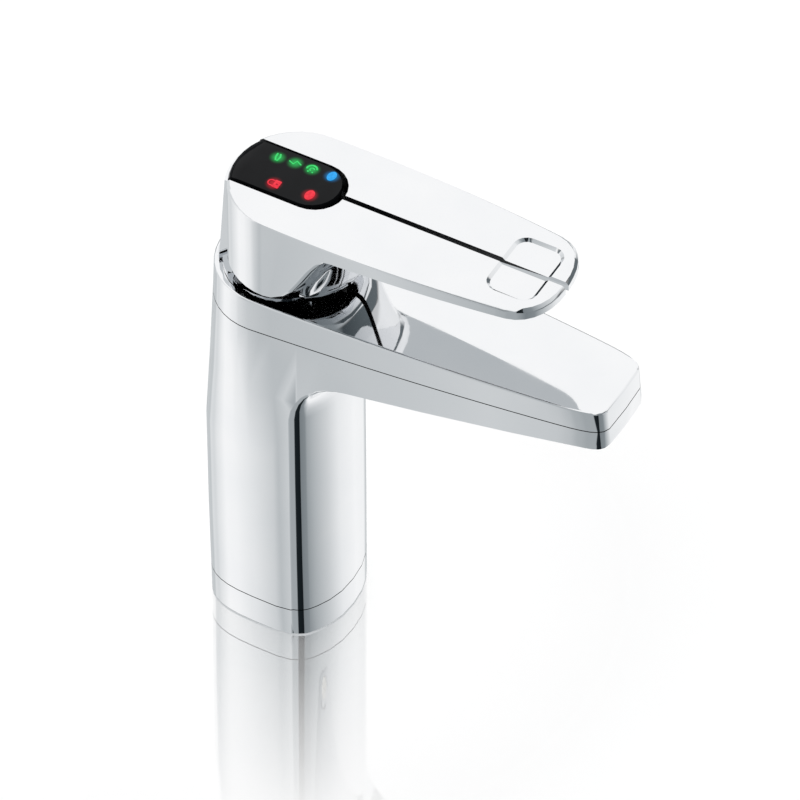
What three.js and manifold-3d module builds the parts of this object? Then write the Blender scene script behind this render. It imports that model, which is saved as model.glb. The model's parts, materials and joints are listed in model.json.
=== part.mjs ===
// Boiling water tap: a hollow D-section column with a long wedge spout, a flat top cover,
// and a round head split into two rocking levers around a fixed display carrier.
// Millimetres, +Z up, the spout points to -Y. The origin is the centre of the column's foot.
import * as THREE from 'three';
import { mergeVertices } from 'three/addons/utils/BufferGeometryUtils.js';
import Module from 'manifold-3d';

const wasm = await Module();
wasm.setup();

// ---------------------------------------------------------------- driving dimensions

// Column: a full round back, nearly flat sides with a slight barrel, and a bowed front with tight corners.
const footHalfWidth = 24.3;
const footWidestY = -6;
const footBack = 22.4;
const footSquareness = 3.4;
const footCornerX = 22.8;
const footCornerY = -18.6;
const footCornerPower = 3;
const columnBarrel = 0.55;
const columnBlendFrom = 88;
const frontBow = 8.7;
const frontBowTop = 7.7;
const bowPower = 2.3;
const columnCornerRadius = 3.4;
const columnWall = 3;
const ringBottom = 0.3;
const ringHeight = 12.2;

// Spout: its outline from above, and the sloping underside that an arch joins to the column.
const spoutStep = 0.1;
const spoutRadius = footHalfWidth - spoutStep;
const spoutBack = 23.6;
const backLean = 0.7;
const spoutCentreY = -1;
const spoutTipY = -130;
const tipLean = 1.3;
const tipFilletRadius = 3.5;
const spoutTaper = 3.8;
const spoutCurve = 5.3;
const spoutSquareness = 7.5;
const spoutRoundFrom = 0.737;
const archRadius = 22;
const coverTop = 157.4;
const archDrop = 50.1;
const archCentreZ = coverTop - archDrop;
const undersideSlope = 0.136;
const undersideBow = 1.2;
const undersideEdgeRadius = 0.8;

// Top cover: a shallow lid above a seam that rises towards the tip.
const seamDropRear = 13.7;
const seamDropTip = 8.3;
const coverWall = 2.5;
const coverTopThickness = 3;
const coverEdgeRadius = 0.8;
const wellRim = 2;
const wellRadius = spoutRadius - wellRim;
const wellCentreY = -1.2;
const wellDepth = 2.5;

// Levers: one outline and one underside, split along the centre line.
const leverStep = 0.3;
const leverRadius = spoutRadius - leverStep;
const leverCentreY = -7.1;
const leverTipY = -108.2;
const leverTaper = -2.2;
const leverCurve = 7.65;
const leverSquareness = 2.4;
const leverRoundFrom = 0.866;
const headGap = 4.6;
const headBottom = coverTop + headGap;
const headHeight = 32.8;
const leverTop = headBottom + headHeight;
const leverCrown = 1.6;
const leverEdgeRadius = 0.8;
const drumRadius = 21;
const drumFlat = 0.97;
const headRiseFromY = -3.5;
const scoopStartY = -32.7;
const scoopReach = 9;
const armDepth = 5.5;
const armUndersideZ = leverTop - armDepth;
const armUndersideRise = 0.038;
const slitWidth = 2;
const leverWall = 2.4;
const leverCheek = 2.2;
const leverRoof = 4.4;

// Finger dish near the lever tips.
const dishCentreY = -92.6;
const dishHalfWidth = 14.2;
const dishHalfLength = 9.7;
const dishCornerRadius = 5.5;
const dishWallRun = 1.7;
const dishDepth = 1.4;

// Display carrier between the levers.
const slotHalfWidth = 11.2;
const slotFrontY = -24.6;
const slotCornerRadius = 11;
const carrierSideGap = 1.4;
const carrierFrontGap = 2.5;
const carrierWall = 2;
const ledgeWidth = 1.2;
const carrierFloor = headBottom + 0.5;
const ledgeDepth = 10.8;
const ledgeZ = leverTop - ledgeDepth;
const flangeGap = 1.7;
const flangeRadius = wellRadius - flangeGap;
const spineFlareTop = 0.4;
const spineFlareFoot = 3.4;
const flangeThickness = 2;
const lensSideGap = 1.3;
const lensFrontGap = 2.3;
const lensThickness = 3;
const lensBackInset = 0.5;
const lensEdgeRadius = 1.6;

// Pivot.
const pivotY = leverCentreY;
const pivotDepth = 15.8;
const pivotZ = leverTop - pivotDepth;
const pinRadius = 2.5;
const pinEndRoom = 1.2;
const bushWall = 0.9;
const bushFlange = 0.8;
const clipThickness = 0.8;
const clipWidth = 1.8;

// Sprung plunger below each lever's finger.
const plungerX = 4;
const plungerY = -14;
const plungerRadius = 1.7;
const plungerHeadHeight = 2;
const plungerStemRadius = 0.8;
const fingerRise = 7.5;
const fingerBottom = headBottom + fingerRise;
const fingerHeight = 3.5;
const fingerLength = 5;
const windowRoom = 1.7;
const springWire = 0.3;
const springTurns = 3.5;

// Electronics.
const boardThickness = 1.6;
const ledSize = 1.6;
const ledHeight = 1;
const ledPlaces = [[5.3, 3.6], [5.6, -2.7], [5.6, -9], [5.6, -15.6], [-5.6, -1.3], [-5.2, -14.4]];
const lightWellRadius = 1.3;
const maskThickness = 5.4;
const cableRadius = 1.5;
const grommetRadius = cableRadius + 1.3;

// Plumbing.
const tubeRadius = 3;
const tubeBore = 2;
const tubeInset = 16.3;
const tubeX = footHalfWidth - tubeInset;
const tubeY = -2;
const tubeBendDrop = 45.4;
const socketX = 5.5;
const socketDepth = 3;
const sleeveRadius = 5.2;
const sleeveBottom = 33;
const sleeveTop = 78;
const nozzleY = -116.5;
const nozzleRadius = 9;
const nozzleHeight = 2.4;
const nozzleNeckRadius = 6.2;
const nozzleNeckLength = 4.6;
const nozzleSealThickness = 0.8;
const nozzleBore = 4.6;
const strainerRadius = 6.6;
const strainerThickness = 1.4;
const strainerHole = 0.85;
const strainerRings = [[2.5, 6], [5, 10]];
const manifoldHalfWidth = 9.5;
const manifoldBackY = -106;
const manifoldFrontY = -125;
const manifoldDrop = 6.4;
const manifoldTop = coverTop - manifoldDrop;

// Foot and fasteners.
const footPlateThickness = 8;
const footPlateInset = 4.4;
const lipHeight = 4.5;
const sealInset = 1.4;
const sealWidth = 1.3;
const sealHeight = 1.3;
const screwRadius = 1.5;
const screwHeadRadius = 2.6;
const screwHeadDepth = 1.1;
const carrierScrewInset = 8.2;
const carrierScrewX = spoutRadius - carrierScrewInset;
const carrierScrewPitch = 14;
const carrierScrewLength = 27;
const bossRadius = 5.2;
const bossHeight = 24;
const footScrewInset = 8.1;
const footScrewX = footHalfWidth - footScrewInset;
const footScrewY = 3;
const footScrewLength = 25;
const studRadius = 2.6;
const studY = -13.5;
const cableY = 12;
const footBossTop = 32;

// Gaps between neighbours.
const clearance = 0.3;
const seamGap = 0.4;

// ---------------------------------------------------------------- materials

const finish = (color, metalness, roughness) => new THREE.MeshStandardMaterial({
  color,
  metalness,
  roughness,
});
const chrome = () => finish(0xd9dcdf, 1, 0.08);
const steel = () => finish(0xb4b8bc, 1, 0.35);
const brass = () => finish(0xc6a25a, 1, 0.35);
const rubber = () => finish(0x222222, 0, 0.85);
const silicone = () => finish(0xe8e6df, 0, 0.6);
const blackPlastic = () => finish(0x1a1b1d, 0, 0.5);
const acetal = () => finish(0xe6e4dc, 0, 0.45);
const laminate = () => finish(0x1f5a35, 0, 0.5);
const gloss = () => finish(0x0c0d0f, 0, 0.08);

// ---------------------------------------------------------------- solids and booleans

/** A closed BufferGeometry as a solid. */
function solid(geometry) {
  const clean = geometry.index ? geometry.toNonIndexed() : geometry.clone();
  clean.deleteAttribute('normal');
  clean.deleteAttribute('uv');
  const merged = mergeVertices(clean, 1e-5);
  return new wasm.Manifold(new wasm.Mesh({
    numProp: 3,
    vertProperties: new Float32Array(merged.attributes.position.array),
    triVerts: new Uint32Array(merged.index.array),
  }));
}

/** A solid as a BufferGeometry. */
function geometryOf(body) {
  const mesh = body.getMesh();
  const geometry = new THREE.BufferGeometry();
  geometry.setAttribute('position', new THREE.BufferAttribute(new Float32Array(mesh.vertProperties), 3));
  geometry.setIndex(new THREE.BufferAttribute(new Uint32Array(mesh.triVerts), 1));
  return geometry;
}

const join = (first, ...others) => others.reduce((sum, next) => sum.add(next), first);
const cut = (first, ...others) => others.reduce((rest, next) => rest.subtract(next), first);
const meet = (first, ...others) => others.reduce((common, next) => common.intersect(next), first);

/** Both mirror images of something made by a function of the side, -1 or +1. */
const bothSides = (make) => [-1, 1].map(make);

/** A box between two opposite corners. */
function box(low, high) {
  const [x0, y0, z0] = low;
  const [x1, y1, z1] = high;
  const geometry = new THREE.BoxGeometry(x1 - x0, y1 - y0, z1 - z0);
  geometry.translate((x0 + x1) / 2, (y0 + y1) / 2, (z0 + z1) / 2);
  return solid(geometry);
}

/** A round bar along X, Y or Z from one place to another on that axis. */
function bar(axis, centre, radius, from, to, sides = 20) {
  const geometry = new THREE.CylinderGeometry(radius, radius, to - from, sides);
  const middle = (from + to) / 2;
  if (axis === 'x') {
    geometry.rotateZ(-Math.PI / 2);
    geometry.translate(middle, centre[0], centre[1]);
  } else if (axis === 'y') {
    geometry.translate(centre[0], middle, centre[1]);
  } else {
    geometry.rotateX(Math.PI / 2);
    geometry.translate(centre[0], centre[1], middle);
  }
  return solid(geometry);
}

/** A closed outline of [x, y] points raised from z0 to z1, with optional holes. */
function raise(outline, z0, z1, holes = []) {
  const shape = new THREE.Shape(outline.map(([x, y]) => new THREE.Vector2(x, y)));
  shape.holes = holes.map((hole) => new THREE.Path(hole.map(([x, y]) => new THREE.Vector2(x, y))));
  const geometry = new THREE.ExtrudeGeometry(shape, { depth: z1 - z0, bevelEnabled: false });
  geometry.translate(0, 0, z0);
  return solid(geometry);
}

/** A closed side profile of [y, z] points drawn across from x0 to x1. */
function across(profile, x0, x1) {
  const shape = new THREE.Shape(profile.map(([y, z]) => new THREE.Vector2(y, z)));
  const geometry = new THREE.ExtrudeGeometry(shape, { depth: x1 - x0, bevelEnabled: false });
  geometry.translate(0, 0, x0);
  geometry.applyMatrix4(new THREE.Matrix4().set(0, 0, 1, 0, 1, 0, 0, 0, 0, 1, 0, 0, 0, 0, 0, 1));
  return solid(geometry);
}

/** A profile of [radius, height] points turned about an axis along Z. */
function turn(profile, sides = 24) {
  const points = profile.map(([radius, height]) => new THREE.Vector2(radius, height));
  const geometry = new THREE.LatheGeometry(points, sides);
  geometry.rotateX(Math.PI / 2);
  return geometry;
}

/** A closed skin through rings of [x, y, z] points, its flat ends fanned from the heart of each end ring. */
function loft(rings, heart) {
  const count = rings[0].length;
  const ends = [rings[0], rings[rings.length - 1]];
  const positions = [...rings.flat(2), ...ends.flatMap((ring) => heart(ring))];
  const firstHeart = rings.length * count;
  const last = (rings.length - 1) * count;
  const index = [];
  for (let i = 0; i < count; i += 1) {
    const next = (i + 1) % count;
    for (let r = 0; r + 1 < rings.length; r += 1) {
      const a = r * count + i;
      const b = r * count + next;
      index.push(a, b, b + count, a, b + count, a + count);
    }
    index.push(next, i, firstHeart, last + i, last + next, firstHeart + 1);
  }
  const geometry = new THREE.BufferGeometry();
  geometry.setAttribute('position', new THREE.Float32BufferAttribute(positions, 3));
  geometry.setIndex(index);
  return solid(geometry);
}

/** The heart of a ring that lies level: its mean point. */
const middleOf = (ring) => [0, 1, 2].map(
  (axis) => ring.reduce((sum, point) => sum + point[axis], 0) / ring.length,
);

// ---------------------------------------------------------------- outlines from above

/** The outline rule of the spout and the levers: a round back, bowed tapering sides, a rounded tip. */
const spoutPlan = {
  radius: spoutRadius,
  back: spoutBack,
  centreY: spoutCentreY,
  tipY: spoutTipY,
  taper: spoutTaper,
  curve: spoutCurve,
  squareness: spoutSquareness,
  roundFrom: spoutRoundFrom,
};
const leverPlan = {
  radius: leverRadius,
  back: leverRadius,
  centreY: leverCentreY,
  tipY: leverTipY,
  taper: leverTaper,
  curve: leverCurve,
  squareness: leverSquareness,
  roundFrom: leverRoundFrom,
};

const shrink = (plan, inset) => ({
  ...plan,
  radius: plan.radius - inset,
  back: plan.back - inset,
  tipY: plan.tipY + inset,
});

/** Half-width of a plan's side at y, before its tip is rounded. */
function sideWidth(plan, y) {
  const t = Math.max(0, (plan.centreY - y) / (plan.centreY - plan.tipY));
  return plan.radius - plan.taper * t - plan.curve * t * t;
}

/** Half-width of a plan at y in front of its round back. */
function planWidth(plan, y) {
  const t = (plan.centreY - y) / (plan.centreY - plan.tipY);
  const u = THREE.MathUtils.clamp((t - plan.roundFrom) / (1 - plan.roundFrom), 0, 1);
  return sideWidth(plan, y) * (1 - u ** plan.squareness) ** (1 / plan.squareness);
}

/** How finely the skins are divided: the outside, and the insides that nobody sees. */
const outside = {
  backSteps: 10,
  sideSteps: 22,
  shares: [0, 0.3, 0.55, 0.75, 0.86, 0.91, 0.95, 0.98, 1, 1.15],
  arcSteps: 8,
};
const inside = { backSteps: 5, sideSteps: 9, shares: [0, 0.6, 0.9, 1, 1.15], arcSteps: 4 };

/** Right half of a plan from the back to the tip, as [x, y]. */
function halfOutline(plan, { backSteps, sideSteps } = outside) {
  const points = [];
  for (let i = 0; i < backSteps; i += 1) {
    const angle = (Math.PI / 2) * (1 - i / backSteps);
    points.push([plan.radius * Math.cos(angle), plan.centreY + plan.back * Math.sin(angle)]);
  }
  for (let i = 0; i <= sideSteps; i += 1) {
    const t = Math.sin((Math.PI / 2) * (i / sideSteps));
    const y = plan.centreY + (plan.tipY - plan.centreY) * t;
    points.push([i === sideSteps ? 0 : planWidth(plan, y), y]);
  }
  return points;
}

/** A right half mirrored into a whole closed outline, counter-clockwise seen from above. */
function wholeOutline(half) {
  const right = half.slice(1, -1);
  return [half[0], ...right.map(([x, y]) => [-x, y]), half[half.length - 1], ...right.slice().reverse()];
}

/** A rectangle with two rounded front corners and an open-ended back, as the display and its slot have. */
function tongue(halfWidth, frontY, cornerRadius, backY) {
  const points = [[halfWidth, backY], [-halfWidth, backY]];
  const steps = 6;
  for (const side of [-1, 1]) {
    for (let i = 0; i <= steps; i += 1) {
      const along = side < 0 ? i / steps : 1 - i / steps;
      const angle = (Math.PI / 2) * along;
      points.push([
        side * (halfWidth - cornerRadius + cornerRadius * Math.cos(angle)),
        frontY + cornerRadius - cornerRadius * Math.sin(angle),
      ]);
    }
  }
  return points;
}

/** A rectangle with four rounded corners. */
function roundedRectangle(halfWidth, halfLength, cornerRadius, centreY) {
  const steps = 4;
  return [[1, 1], [-1, 1], [-1, -1], [1, -1]].flatMap(([sx, sy], quarter) => {
    const corner = [];
    for (let i = 0; i <= steps; i += 1) {
      const angle = (Math.PI / 2) * (quarter + i / steps);
      corner.push([
        sx * (halfWidth - cornerRadius) + cornerRadius * Math.cos(angle),
        centreY + sy * (halfLength - cornerRadius) + cornerRadius * Math.sin(angle),
      ]);
    }
    return corner;
  });
}

const circle = (x, y, radius, sides = 12) => Array.from({ length: sides }, (_, i) => {
  const angle = (2 * Math.PI * i) / sides;
  return [x + radius * Math.cos(angle), y + radius * Math.sin(angle)];
});

// ---------------------------------------------------------------- column and spout

const seamHeight = (y) => {
  const t = (spoutCentreY - y) / (spoutCentreY - spoutTipY);
  return coverTop - seamDropRear + (seamDropRear - seamDropTip) * t;
};
const blendTop = seamHeight(spoutCentreY);

/** How much of the column's own outline is left at height z: all of it at the foot, none at the seam. */
const columnShare = (z) => 1 - THREE.MathUtils.smoothstep(z, columnBlendFrom, blendTop);

const barrelAt = (z) => columnBarrel * Math.sin(Math.PI * THREE.MathUtils.clamp(z / blendTop, 0, 1));

/** Half-width of the column's own outline at y, from its front corner to its back. */
function footWidth(y) {
  if (y < footWidestY) {
    const reach = Math.min(1, (y - footWidestY) / (footCornerY - footWidestY));
    return footHalfWidth - (footHalfWidth - footCornerX) * reach ** footCornerPower;
  }
  const reach = (y - footWidestY) / (footBack - footWidestY);
  return footHalfWidth * (1 - reach ** footSquareness) ** (1 / footSquareness);
}

/** How far the column's side stands out from the spout's outline at y, counted outwards. */
function sideOffset(y, z) {
  const fade = 1 - THREE.MathUtils.smoothstep(footCornerY - y, 0, footBack);
  const width = footWidth(y) - sideWidth(spoutPlan, Math.max(y, footCornerY));
  return (width + barrelAt(z)) * fade * columnShare(z);
}

/** A point on the column's back, a share of the way round from the side (0) to the middle (1). */
function footBackPoint(share, grow) {
  const depth = footBack - footWidestY;
  const sideAngle = Math.asin(((spoutCentreY - footWidestY) / depth) ** (footSquareness / 2));
  const angle = THREE.MathUtils.lerp(sideAngle, Math.PI / 2, share);
  const power = 2 / footSquareness;
  return [
    (footHalfWidth + grow) * Math.cos(angle) ** power,
    footWidestY + (depth + grow) * Math.sin(angle) ** power,
  ];
}

/** The column's and spout's outer wall at height z, inset by a wall thickness. */
function wallRing(z, inset, detail = outside) {
  const share = columnShare(z);
  const plan = shrink(spoutPlan, inset);
  plan.back -= backLean * THREE.MathUtils.clamp((z - blendTop) / seamDropRear, 0, 1);
  const lean = tipLean * THREE.MathUtils.clamp((coverTop - z) / seamDropTip, 0, 1);
  const half = halfOutline(plan, detail).map(([x, y], i, all) => {
    if (i < detail.backSteps) {
      const [footX, footY] = footBackPoint(1 - i / detail.backSteps, barrelAt(z) - inset);
      return [i === 0 ? 0 : THREE.MathUtils.lerp(x, footX, share), THREE.MathUtils.lerp(y, footY, share)];
    }
    const front = lean * THREE.MathUtils.smoothstep(spoutTipY + footBack - y, 0, footBack);
    return [i === all.length - 1 ? 0 : x + sideOffset(y, z), y - front];
  });
  return wholeOutline(half).map(([x, y]) => [x, y, z]);
}

/** Stations along the edge that runs up the front corner, round the arch, out to the tip and up it. */
function edgeStations({ arcSteps } = outside) {
  const stations = [];
  for (const share of [-0.1, 0, 0.35, 0.7]) {
    stations.push({
      y: footCornerY,
      z: archCentreZ * share,
      angle: 0,
      bow: THREE.MathUtils.lerp(frontBow, frontBowTop, Math.max(share, 0)),
      radius: columnCornerRadius,
    });
  }
  const endAngle = Math.PI / 2 - Math.atan(undersideSlope);
  for (let i = 0; i <= arcSteps; i += 1) {
    const share = i / arcSteps;
    const angle = endAngle * share;
    stations.push({
      y: footCornerY - archRadius + archRadius * Math.cos(angle),
      z: archCentreZ + archRadius * Math.sin(angle),
      angle,
      bow: THREE.MathUtils.lerp(frontBowTop, undersideBow, THREE.MathUtils.smoothstep(share, 0, 1)),
      radius: THREE.MathUtils.lerp(columnCornerRadius, undersideEdgeRadius, share),
    });
  }
  const arcEnd = stations[stations.length - 1];
  const filletY = spoutTipY - tipLean - clearance + tipFilletRadius;
  const lineEnd = filletY - tipFilletRadius * Math.cos(endAngle);
  for (const share of [0.3, 0.65]) {
    const y = THREE.MathUtils.lerp(arcEnd.y, lineEnd, share);
    const z = arcEnd.z + (arcEnd.y - y) * undersideSlope;
    stations.push({ y, z, angle: endAngle, bow: undersideBow, radius: undersideEdgeRadius });
  }
  const filletZ = arcEnd.z + (arcEnd.y - lineEnd) * undersideSlope + tipFilletRadius * Math.sin(endAngle);
  const filletSteps = 4;
  for (let i = 0; i <= filletSteps; i += 1) {
    const angle = endAngle * (1 - i / filletSteps);
    stations.push({
      y: filletY - tipFilletRadius * Math.cos(angle),
      z: filletZ - tipFilletRadius * Math.sin(angle),
      angle,
      bow: undersideBow * Math.sin(angle),
      radius: undersideEdgeRadius,
    });
  }
  return stations;
}

const edgeWidth = ({ y, z }) => sideWidth(spoutPlan, Math.max(y, spoutTipY)) + sideOffset(y, z);

/** Everything behind the column's bowed front and above the spout's underside. */
function frontAndUnderside(inset, detail) {
  const columns = [...detail.shares.slice(1).reverse().map((share) => -share), ...detail.shares];
  const stations = edgeStations(detail);
  const farY = 2 * footBack;
  const highZ = 1.2 * coverTop;
  const rings = columns.map((share) => {
    const front = stations.map((station) => {
      const width = edgeWidth(station) - inset;
      const into = Math.max(0, Math.abs(share) * width - (width - station.radius)) / station.radius;
      const rounded = station.radius * (1 - Math.sqrt(Math.max(0, 1 - (into * 0.94) ** 2)));
      const out = station.bow * (1 - Math.abs(share) ** bowPower) - rounded - inset;
      return [
        share * width,
        station.y - Math.cos(station.angle) * out,
        station.z - Math.sin(station.angle) * out,
      ];
    });
    const foot = front[0];
    const tip = front[front.length - 1];
    const behind = [[foot[0], farY, foot[2]], [foot[0], farY, highZ], [tip[0], tip[1], highZ]];
    return [...behind, ...front.reverse()];
  });
  return loft(rings, ([[x]]) => [x, 0, coverTop]);
}

/** The column and spout as one solid up to the cover's top, inset by a wall thickness. */
function tapBody(inset, detail = inside) {
  const low = [-1, ringHeight, blendTop * 0.3, columnBlendFrom, (columnBlendFrom + blendTop) / 2, blendTop];
  const levels = low.map((z) => [z, 0]);
  levels.push([coverTop - coverEdgeRadius, 0], [coverTop - 0.3 * coverEdgeRadius, 0.3 * coverEdgeRadius]);
  levels.push([coverTop, coverEdgeRadius]);
  const wall = loft(levels.map(([z, round]) => wallRing(z, inset + round, detail)), middleOf);
  return meet(wall, frontAndUnderside(inset, detail));
}

const farSide = 2 * footBack;
const farFront = spoutTipY * 1.2;
const farHigh = 2 * coverTop;

/** The half-space above the seam, moved up or down by an offset. */
function aboveSeam(offset) {
  return across([
    [farSide, farHigh],
    [farFront, farHigh],
    [farFront, seamHeight(farFront) + offset],
    [farSide, seamHeight(farSide) + offset],
  ], -farSide, farSide);
}

const slab = (z0, z1) => box([-farSide, farFront, z0], [farSide, farSide, z1]);

const outerBody = tapBody(0, outside);
const innerBody = tapBody(columnWall);

const carrierScrewPlaces = bothSides((side) => bothSides((end) => [
  side * carrierScrewX,
  wellCentreY + (end * carrierScrewPitch) / 2,
])).flat();
const footScrewPlaces = bothSides((side) => [side * footScrewX, footScrewY]);
const screwHoleRadius = screwRadius + clearance;

/** The spout's underside at a place on the centre line. */
function undersideHeight(y) {
  const onLine = edgeStations().find((station) => station.angle > 0 && station.bow === undersideBow);
  return onLine.z + (onLine.y - y) * undersideSlope - undersideBow;
}
const nozzleTilt = -Math.atan(undersideSlope);

/** Moves a geometry from the nozzle's own frame, with its seat at the origin, to the spout. */
function atNozzle(geometry) {
  geometry.rotateX(nozzleTilt);
  geometry.translate(0, nozzleY, undersideHeight(nozzleY));
  return solid(geometry);
}

/** A round space on the nozzle's axis, between two heights above its seat. */
function nozzleSpace(radius, low, high, sides = 24) {
  const geometry = new THREE.CylinderGeometry(radius, radius, high - low, sides);
  geometry.rotateX(Math.PI / 2);
  geometry.translate(0, 0, (low + high) / 2);
  return atNozzle(geometry);
}

function columnBody() {
  const bottom = ringHeight + seamGap;
  const bossFoot = blendTop - bossHeight;
  const boss = (bossTop, from) => (place) => meet(bar('z', place, bossRadius, from, bossTop, 12), outerBody);
  const withBosses = join(
    cut(outerBody, innerBody),
    ...carrierScrewPlaces.map(boss(coverTop, bossFoot)),
    ...footScrewPlaces.map(boss(footBossTop, bottom + lipHeight + 1)),
  );
  const footHoleTop = footBossTop - columnWall;
  const screwHole = (low, high) => (place) => bar('z', place, screwHoleRadius, low, high, 10);
  return cut(
    withBosses,
    slab(-10, bottom),
    aboveSeam(-seamGap / 2),
    nozzleSpace(nozzleNeckRadius + clearance, -10, 10),
    nozzleSpace(nozzleRadius + clearance, -6, 0),
    ...carrierScrewPlaces.map(screwHole(bossFoot, coverTop)),
    ...footScrewPlaces.map(screwHole(0, footHoleTop)),
  );
}

/** The passage for the cable from the column up into the carrier. */
const cablePassage = () => bar('z', [0, 3], 6, coverTop - seamDropRear, carrierFloor + 1);
const stemHoles = () => bothSides((side) => bar(
  'z',
  [side * plungerX, plungerY],
  plungerStemRadius + clearance,
  coverTop - wellDepth - coverTopThickness - 1,
  carrierFloor + 1,
  10,
));

function topCover() {
  const lid = meet(outerBody, aboveSeam(seamGap / 2));
  const hollowTop = coverTop - wellDepth - coverTopThickness;
  const hollow = loft([blendTop - 5, hollowTop].map((z) => wallRing(z, coverWall, inside)), middleOf);
  const posts = carrierScrewPlaces.map((place) => meet(
    bar('z', place, bossRadius - 1, blendTop - 5, coverTop - wellDepth - 1, 12),
    outerBody,
    aboveSeam(seamGap / 2),
  ));
  const well = bar('z', [0, wellCentreY], wellRadius, coverTop - wellDepth, coverTop + 1, 40);
  const screwHoles = carrierScrewPlaces.map((place) => bar('z', place, screwHoleRadius, 0, farHigh, 10));
  return cut(join(cut(lid, hollow), ...posts), well, cablePassage(), ...stemHoles(), ...screwHoles);
}

// ---------------------------------------------------------------- foot

function baseRing() {
  const ring = meet(outerBody, slab(ringBottom, ringHeight));
  const lip = meet(tapBody(columnWall + clearance), slab(ringHeight - 1, ringHeight + seamGap + lipHeight));
  const hole = meet(tapBody(footPlateInset - clearance), slab(-2, ringHeight + seamGap + lipHeight + 1));
  const groove = cut(
    meet(tapBody(sealInset - clearance), slab(-1, sealHeight + clearance)),
    tapBody(sealInset + sealWidth + clearance),
  );
  return cut(join(ring, lip), hole, groove);
}

const baseSeal = () => cut(
  meet(tapBody(sealInset), slab(0, sealHeight)),
  tapBody(sealInset + sealWidth),
);

function footPlate() {
  const plate = meet(tapBody(footPlateInset), slab(0, footPlateThickness));
  const through = [-1, footPlateThickness + 1];
  const tubeHoleRadius = tubeRadius + clearance;
  const tubeHoles = bothSides((side) => bar('z', [side * tubeX, tubeY], tubeHoleRadius, ...through, 16));
  const grommetHole = bar('z', [0, cableY], grommetRadius + clearance, ...through, 16);
  const studHole = bar('z', [0, studY], studRadius, ...through, 12);
  const screwHoles = footScrewPlaces.flatMap((place) => [
    bar('z', place, screwHoleRadius, ...through, 12),
    bar('z', place, screwHeadRadius + clearance, -1, screwHeadDepth + 1, 12),
  ]);
  return cut(plate, ...tubeHoles, grommetHole, studHole, ...screwHoles);
}

/** A countersunk screw with its head up at the origin and its shank pointing down. */
function screwGeometry(length) {
  return turn([
    [0, -length],
    [screwRadius, -length],
    [screwRadius, -screwHeadDepth],
    [screwHeadRadius, -0.25],
    [screwHeadRadius, 0],
    [1.1, 0],
    [1.1, -0.8],
    [0, -0.8],
  ], 10);
}

// ---------------------------------------------------------------- levers

const crownHeight = (x) => leverTop + leverCrown * (1 - (x / leverRadius) ** 2);

/** The space below the gently crowned top that the levers and the display share. */
function belowCrown(drop) {
  const steps = 10;
  const profile = [[leverRadius + 2, 0], [-leverRadius - 2, 0]];
  for (let i = 0; i <= steps; i += 1) {
    const x = (leverRadius + 2) * (-1 + (2 * i) / steps);
    profile.push([x, crownHeight(x) - drop]);
  }
  const shape = new THREE.Shape(profile.map(([x, z]) => new THREE.Vector2(x, z)));
  const geometry = new THREE.ExtrudeGeometry(shape, { depth: farSide - farFront, bevelEnabled: false });
  geometry.rotateX(Math.PI / 2);
  geometry.translate(0, farSide, 0);
  return solid(geometry);
}

/** The levers' outer wall from z0 up through the crown, inset by a wall thickness. */
function leverWallSolid(inset, z0, z1) {
  const edge = leverEdgeRadius;
  const levels = inset > 0
    ? [[z0, 0], [z1, 0]]
    : [[z0, 0], [leverTop - edge * 0.6, 0], [leverTop, edge * 0.35], [leverTop + edge, edge * 1.5]];
  const rings = levels.map(([z, round]) => wholeOutline(halfOutline(shrink(leverPlan, inset + round)))
    .map(([x, y]) => [x, y, z]));
  return loft(rings, middleOf);
}

/** Where the head's round bottom ends in front, at a distance x from the centre line. */
function headFront(x) {
  const beyond = (Math.abs(x) - drumRadius) / (leverRadius - drumRadius);
  if (beyond > 0) {
    return THREE.MathUtils.lerp(leverCentreY, headRiseFromY, Math.min(beyond, 1));
  }
  return leverCentreY - drumFlat * Math.sqrt(drumRadius ** 2 - x ** 2);
}

/** The head's flat bottom, the scoop in front of it and the underside of the arm. */
function leverUnderside() {
  const shares = [0, 0.3, 0.55, 0.72, 0.83, 0.88, 0.94, 1, 1.1];
  const columns = [...shares.slice(1).reverse().map((share) => -share), ...shares];
  const scoopSteps = 9;
  const armZ = (y) => armUndersideZ + armUndersideRise * (scoopStartY - y);
  const tipY = leverTipY * 1.1;
  const rings = columns.map((share) => {
    const x = share * leverRadius;
    const armStart = scoopStartY - scoopReach * Math.sqrt(Math.max(0, 1 - share * share));
    const above = 2 * leverTop;
    const profile = [[farSide, headBottom], [farSide, above], [tipY, above], [tipY, armZ(tipY)]];
    for (let i = scoopSteps; i >= 0; i -= 1) {
      const along = i / scoopSteps;
      const y = THREE.MathUtils.lerp(headFront(x), armStart, along);
      const rise = THREE.MathUtils.smootherstep(along ** 1.25, 0, 1);
      profile.push([y, THREE.MathUtils.lerp(headBottom, armZ(armStart), rise)]);
    }
    return profile.map(([y, z]) => [x, y, z]);
  });
  return loft(rings, ([[x]]) => [x, 0, leverTop]);
}

/** The slot between the levers that holds the display carrier. */
const carrierSlot = () => raise(
  tongue(slotHalfWidth, slotFrontY, slotCornerRadius, farSide),
  headBottom - 10,
  leverTop + 10,
);

/** The finger dish, with sloping walls, as the space to cut out. */
function dishSpace() {
  const floor = leverTop + leverCrown * 0.8 - dishDepth;
  const ring = (grow, z) => roundedRectangle(
    dishHalfWidth + grow,
    dishHalfLength + grow,
    dishCornerRadius + grow,
    dishCentreY,
  ).map(([x, y]) => [x, y, z]);
  const rings = [ring(-dishWallRun, floor), ring(0, floor + dishDepth), ring(0.6, floor + 2 * dishDepth)];
  return loft(rings, middleOf);
}

const cheekInside = slotHalfWidth + leverCheek;
const bushOuterRadius = pinRadius + clearance + bushWall;

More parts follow.
